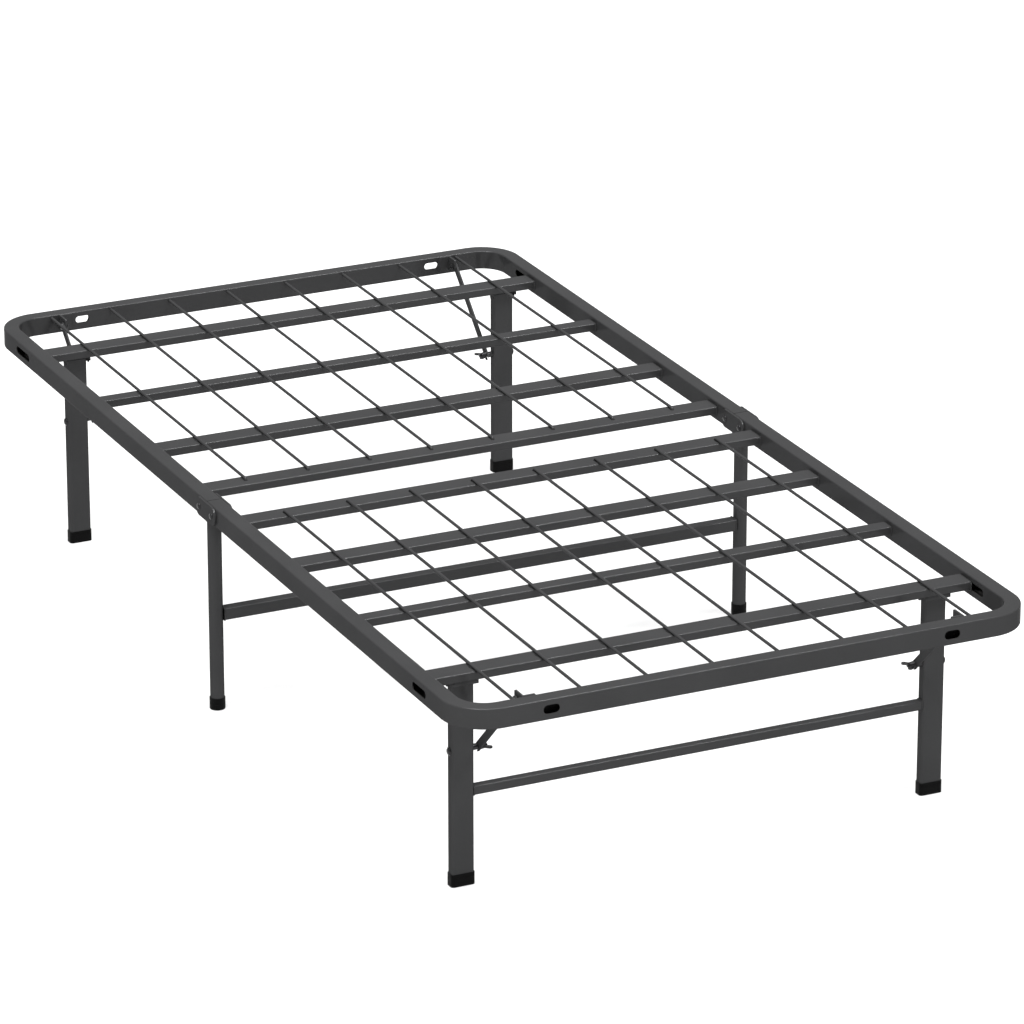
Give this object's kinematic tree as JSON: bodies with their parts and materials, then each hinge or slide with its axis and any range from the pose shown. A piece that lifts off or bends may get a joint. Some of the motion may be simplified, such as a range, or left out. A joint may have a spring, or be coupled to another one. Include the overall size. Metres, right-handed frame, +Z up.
{
  "type": "folding bed frame",
  "caption": "Low folding metal bed frame: hollow rails, cross slats and long wires, braced folding end legs, fixed middle legs and black floor caps.",
  "frame": {"origin": "on the floor under the centre of the bed, in the plane of the folding seam", "axes": "+Y towards the head end, +X towards the right side seen from the foot, +Z up"},
  "size_m": [0.972, 1.905, 0.356],
  "materials": {
    "frame": "dark grey semi-matt powder coat",
    "cap": "black moulded plastic",
    "fastener": "black oxide steel"
  },
  "bodies": {
    "foot_half": {"foot_rail": "frame", "slat_5": "frame", "slat_6": "frame", "slat_7": "frame", "slat_8": "frame", "wire_foot_1": "frame", "wire_foot_2": "frame", "wire_foot_3": "frame", "wire_foot_4": "frame", "wire_foot_5": "frame", "wire_foot_6": "frame", "wire_foot_7": "frame", "wire_foot_8": "frame", "leg_bracket_foot_left": "frame", "leg_bracket_foot_right": "frame", "brace_bracket_foot_left": "frame", "brace_bracket_foot_right": "frame"},
    "center_frame": {"link_plate_outer_left": "frame", "link_plate_outer_right": "frame", "link_plate_inner_left": "frame", "link_plate_inner_right": "frame", "middle_leg_left": "frame", "middle_leg_right": "frame", "middle_cap_left": "cap", "middle_cap_right": "cap", "middle_crossbar": "frame"},
    "head_half": {"head_rail": "frame", "slat_1": "frame", "slat_2": "frame", "slat_3": "frame", "slat_4": "frame", "wire_head_1": "frame", "wire_head_2": "frame", "wire_head_3": "frame", "wire_head_4": "frame", "wire_head_5": "frame", "wire_head_6": "frame", "wire_head_7": "frame", "wire_head_8": "frame", "leg_bracket_head_left": "frame", "leg_bracket_head_right": "frame", "brace_bracket_head_left": "frame", "brace_bracket_head_right": "frame"},
    "foot_legs": {"leg_foot_left": "frame", "leg_foot_right": "frame", "leg_cap_foot_left": "cap", "leg_cap_foot_right": "cap", "foot_leg_crossbar": "frame"},
    "head_leg_left_body": {"leg_head_left": "frame", "leg_cap_head_left": "cap"},
    "head_leg_right_body": {"leg_head_right": "frame", "leg_cap_head_right": "cap"},
    "brace_foot_left_body": {"brace_foot_left": "frame"},
    "wing_nut_foot_left_body": {"wing_nut_foot_left": "fastener"},
    "brace_foot_right_body": {"brace_foot_right": "frame"},
    "wing_nut_foot_right_body": {"wing_nut_foot_right": "fastener"},
    "brace_head_left_body": {"brace_head_left": "frame"},
    "wing_nut_head_left_body": {"wing_nut_head_left": "fastener"},
    "brace_head_right_body": {"brace_head_right": "frame"},
    "wing_nut_head_right_body": {"wing_nut_head_right": "fastener"}
  },
  "joints": [
    {"name": "foot_fold", "type": "hinge", "parent": "foot_half", "child": "center_frame", "pos_m": [0, -0.025, 0.3395], "axis": [-1, 0, 0], "range_deg": [0, 78]},
    {"name": "head_fold", "type": "hinge", "parent": "center_frame", "child": "head_half", "pos_m": [0, 0.025, 0.3395], "axis": [-1, 0, 0], "range_deg": [0, 78]},
    {"name": "foot_legs_fold", "type": "hinge", "parent": "foot_half", "child": "foot_legs", "pos_m": [0, -0.771, 0.3265], "axis": [1, 0, 0], "range_deg": [0, 90]},
    {"name": "head_leg_left_fold", "type": "hinge", "parent": "head_half", "child": "head_leg_left_body", "pos_m": [-0.398, 0.771, 0.3265], "axis": [-1, 0, 0], "range_deg": [0, 90]},
    {"name": "head_leg_right_fold", "type": "hinge", "parent": "head_half", "child": "head_leg_right_body", "pos_m": [0.398, 0.771, 0.3265], "axis": [-1, 0, 0], "range_deg": [0, 90]},
    {"name": "brace_foot_left_swing", "type": "hinge", "parent": "foot_half", "child": "brace_foot_left_body", "pos_m": [-0.3675, -0.904, 0.342], "axis": [1, 0, 0], "range_deg": [0, 33]},
    {"name": "wing_nut_foot_left_turn", "type": "hinge", "parent": "foot_legs", "child": "wing_nut_foot_left_body", "pos_m": [-0.3675, -0.776, 0.219], "axis": [1, 0, 0], "continuous": true},
    {"name": "brace_foot_right_swing", "type": "hinge", "parent": "foot_half", "child": "brace_foot_right_body", "pos_m": [0.3675, -0.904, 0.342], "axis": [1, 0, 0], "range_deg": [0, 33]},
    {"name": "wing_nut_foot_right_turn", "type": "hinge", "parent": "foot_legs", "child": "wing_nut_foot_right_body", "pos_m": [0.3675, -0.776, 0.219], "axis": [1, 0, 0], "continuous": true},
    {"name": "brace_head_left_swing", "type": "hinge", "parent": "head_half", "child": "brace_head_left_body", "pos_m": [-0.3675, 0.904, 0.342], "axis": [-1, 0, 0], "range_deg": [0, 33]},
    {"name": "wing_nut_head_left_turn", "type": "hinge", "parent": "head_leg_left_body", "child": "wing_nut_head_left_body", "pos_m": [-0.3675, 0.776, 0.219], "axis": [1, 0, 0], "continuous": true},
    {"name": "brace_head_right_swing", "type": "hinge", "parent": "head_half", "child": "brace_head_right_body", "pos_m": [0.3675, 0.904, 0.342], "axis": [-1, 0, 0], "range_deg": [0, 33]},
    {"name": "wing_nut_head_right_turn", "type": "hinge", "parent": "head_leg_right_body", "child": "wing_nut_head_right_body", "pos_m": [0.3675, 0.776, 0.219], "axis": [1, 0, 0], "continuous": true}
  ],
  "couplings": [
    {"joint": "head_fold", "follows": "foot_fold", "ratio": 1},
    {"joint": "foot_legs_fold", "follows": "foot_fold", "ratio": 1.15},
    {"joint": "head_leg_left_fold", "follows": "foot_fold", "ratio": 1.15},
    {"joint": "head_leg_right_fold", "follows": "foot_fold", "ratio": 1.15},
    {"joint": "brace_foot_left_swing", "follows": "foot_fold", "ratio": 0.42},
    {"joint": "brace_foot_right_swing", "follows": "foot_fold", "ratio": 0.42},
    {"joint": "brace_head_left_swing", "follows": "foot_fold", "ratio": 0.42},
    {"joint": "brace_head_right_swing", "follows": "foot_fold", "ratio": 0.42}
  ]
}
